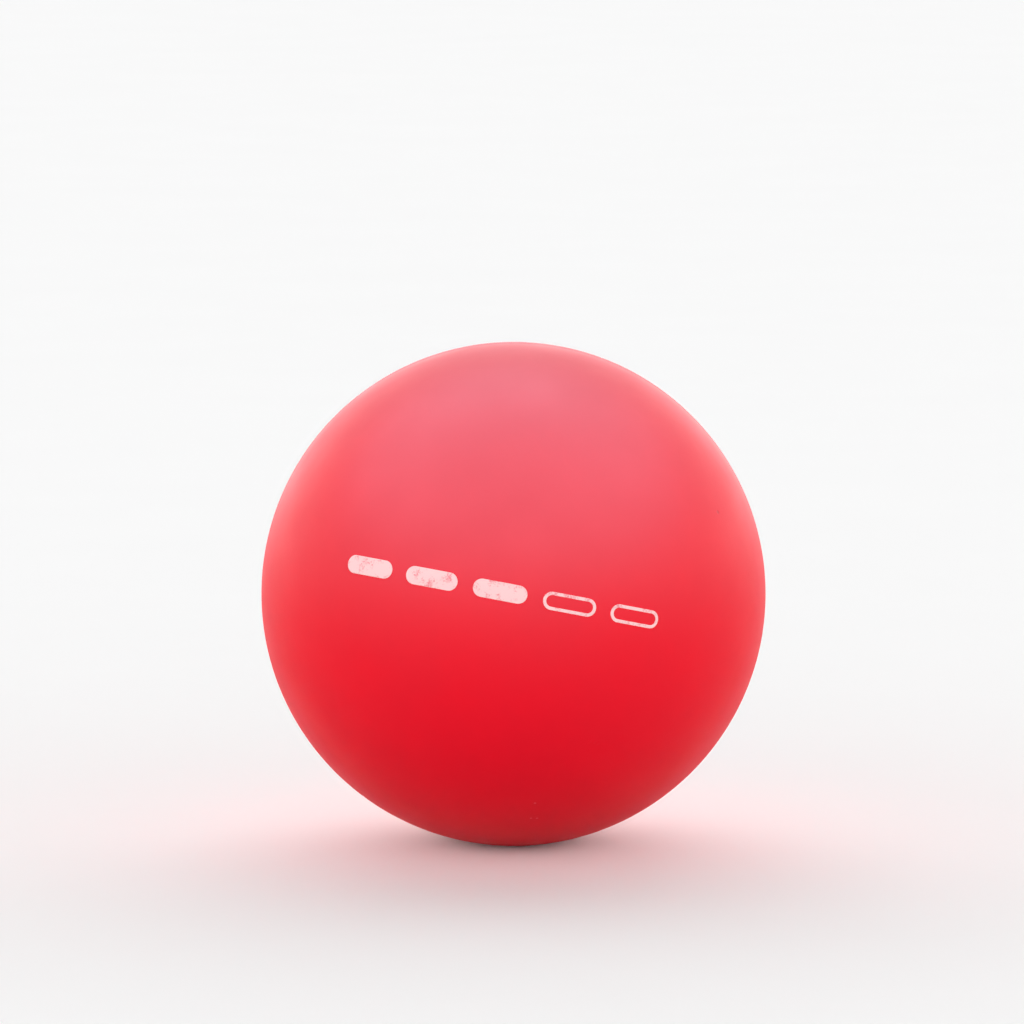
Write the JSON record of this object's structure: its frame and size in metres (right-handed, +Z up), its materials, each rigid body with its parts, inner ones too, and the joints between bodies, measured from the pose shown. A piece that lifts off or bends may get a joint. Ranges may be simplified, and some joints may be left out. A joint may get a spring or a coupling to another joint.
{
  "type": "hand exercise ball",
  "caption": "Soft squeeze ball for hand exercise: satin rubber half skins bonded round a resilient foam core, with a plugged filling port at the rear.",
  "frame": {"origin": "centre of the ball's resting place, on the plane it stands on", "axes": "+Z up, -Y out of the printed front pole, +Y out of the filling port at the rear pole, +X to the right of the printed face"},
  "size_m": [0.065, 0.0649, 0.0648],
  "materials": {
    "front_rubber": "satin",
    "rear_rubber": "satin",
    "plug_rubber": "satin",
    "foam": "matte"
  },
  "bodies": {
    "front": {"front_half_skin": "front_rubber", "foam_core": "foam"},
    "rear": {"rear_half_skin": "rear_rubber", "fill_plug": "plug_rubber"}
  },
  "joints": [
    {"name": "squeeze", "type": "slide", "parent": "front", "child": "rear", "axis": [0, -1, 0], "range_m": [0, 0.02], "stiffness_N_per_m": 800, "deforming": ["front_half_skin", "rear_half_skin", "foam_core"]}
  ]
}
